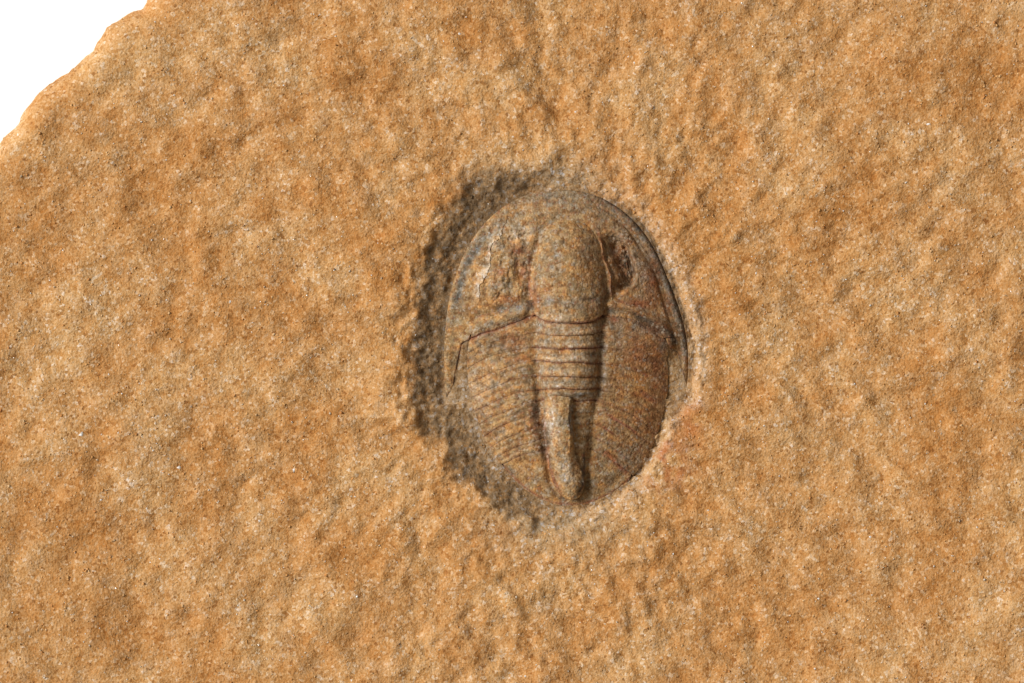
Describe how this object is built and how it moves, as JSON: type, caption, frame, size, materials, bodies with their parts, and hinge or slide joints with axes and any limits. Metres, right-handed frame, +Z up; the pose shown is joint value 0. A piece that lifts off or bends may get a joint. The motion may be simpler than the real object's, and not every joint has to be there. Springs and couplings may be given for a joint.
{
  "type": "trilobite fossil",
  "caption": "Vaulted trilobite with genal spines and a long axial spine, lying in a hollow in the top of a broken, flat-bottomed sandstone slab.",
  "frame": {"origin": "middle of the bounding box of the slab, on its flat underside", "axes": "+Z up, out of the face that holds the animal; +Y towards the animal's head; +X along the slab's longer side, to the right when the head points away"},
  "size_m": [0.078, 0.056, 0.011],
  "materials": {
    "sandstone": "matte fine-grained ochre sandstone",
    "fossil_shell": "matte grey-brown mineralised shell"
  },
  "bodies": {
    "root": {"stone_slab": "sandstone", "cranidium": "fossil_shell", "left_free_cheek": "fossil_shell", "right_free_cheek": "fossil_shell", "thorax_segment_01": "fossil_shell", "thorax_segment_02": "fossil_shell", "thorax_segment_03": "fossil_shell", "thorax_segment_04": "fossil_shell", "thorax_segment_05": "fossil_shell", "thorax_segment_06": "fossil_shell", "thorax_segment_07": "fossil_shell", "thorax_segment_08": "fossil_shell", "thorax_segment_09": "fossil_shell", "thorax_segment_10": "fossil_shell", "pygidium": "fossil_shell"}
  },
  "joints": []
}
